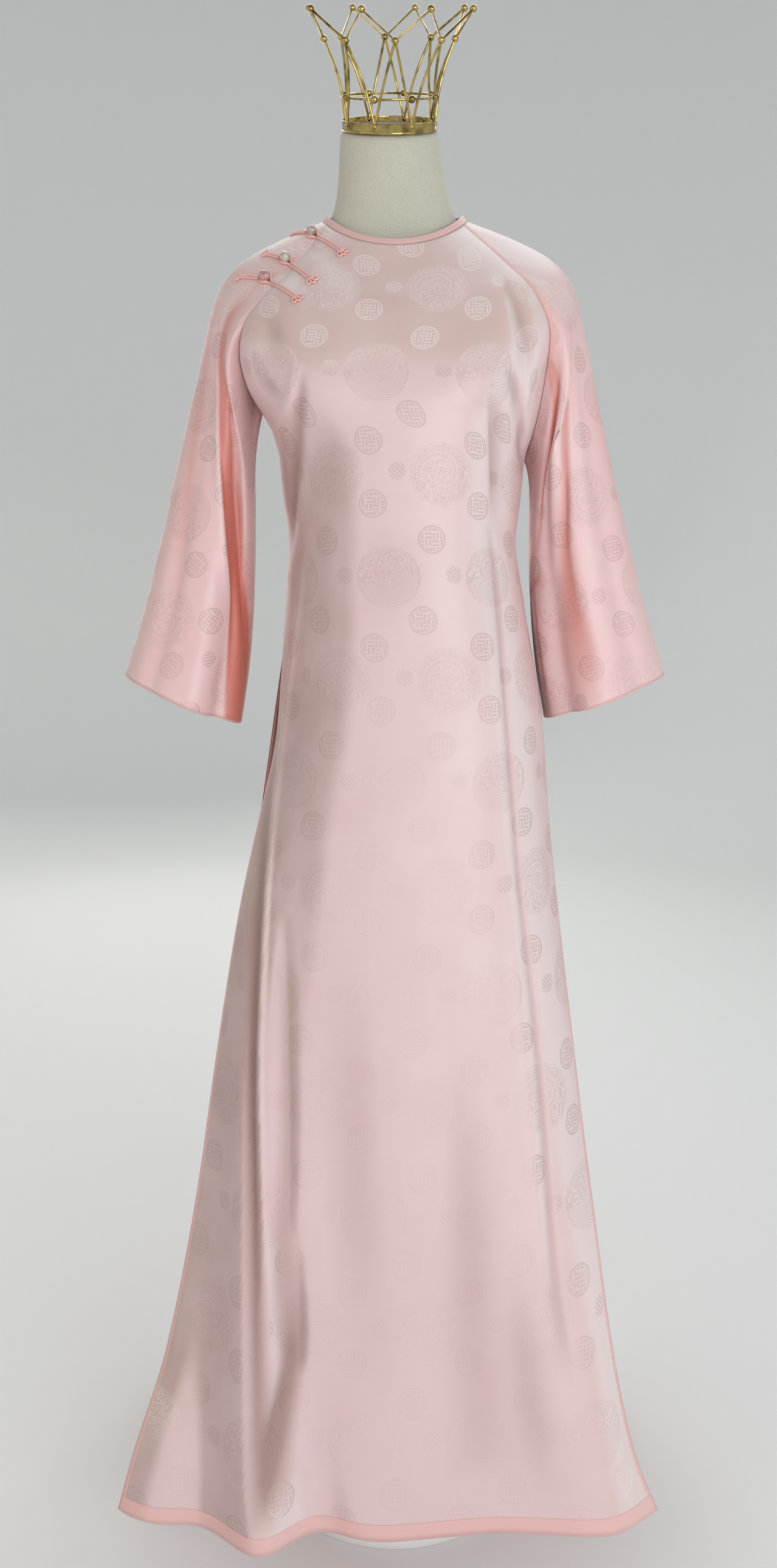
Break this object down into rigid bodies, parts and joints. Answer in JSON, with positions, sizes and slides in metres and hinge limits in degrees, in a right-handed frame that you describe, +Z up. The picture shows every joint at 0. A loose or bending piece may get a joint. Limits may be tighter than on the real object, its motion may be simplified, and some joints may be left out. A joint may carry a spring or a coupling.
{
  "type": "ao dai tunic on a dress form",
  "caption": "Collarless raglan ao dai tunic with bell sleeves, side slits and corded frog closings, worn by a limbless dress form on a pole and round base.",
  "frame": {"origin": "centre of the base plate's underside, on the floor", "axes": "+Z up, the wearer faces -Y, +X towards the wearer's left"},
  "size_m": [0.614, 0.4551, 1.6742],
  "materials": {
    "rose_damask_satin": "woven silk satin with damask roundels",
    "doubled_rose_satin": "the same satin turned double, deeper in colour",
    "satin_cord": "rolled satin bias cord",
    "rose_quartz": "polished translucent stone",
    "cream_form_cloth": "plain woven cover stretched over a torso",
    "polished_gold_wire": "polished gold plating",
    "white_coated_steel": "white powder coat"
  },
  "bodies": {
    "root": {"front_panel": "rose_damask_satin", "back_panel": "rose_damask_satin", "sleeve_left": "rose_damask_satin", "sleeve_right": "rose_damask_satin", "neck_band": "doubled_rose_satin", "front_hem": "doubled_rose_satin", "back_hem": "doubled_rose_satin", "cuff_left": "doubled_rose_satin", "cuff_right": "doubled_rose_satin", "slit_edge_front_left": "doubled_rose_satin", "slit_edge_front_right": "doubled_rose_satin", "slit_edge_back_left": "doubled_rose_satin", "slit_edge_back_right": "doubled_rose_satin", "frog_1_knot": "satin_cord", "frog_1_loop": "satin_cord", "frog_1_bead": "rose_quartz", "frog_2_knot": "satin_cord", "frog_2_loop": "satin_cord", "frog_2_bead": "rose_quartz", "frog_3_knot": "satin_cord", "frog_3_loop": "satin_cord", "frog_3_bead": "rose_quartz", "dress_form": "cream_form_cloth", "neck_cap": "polished_gold_wire", "pole": "white_coated_steel", "base_plate": "white_coated_steel"}
  },
  "joints": []
}
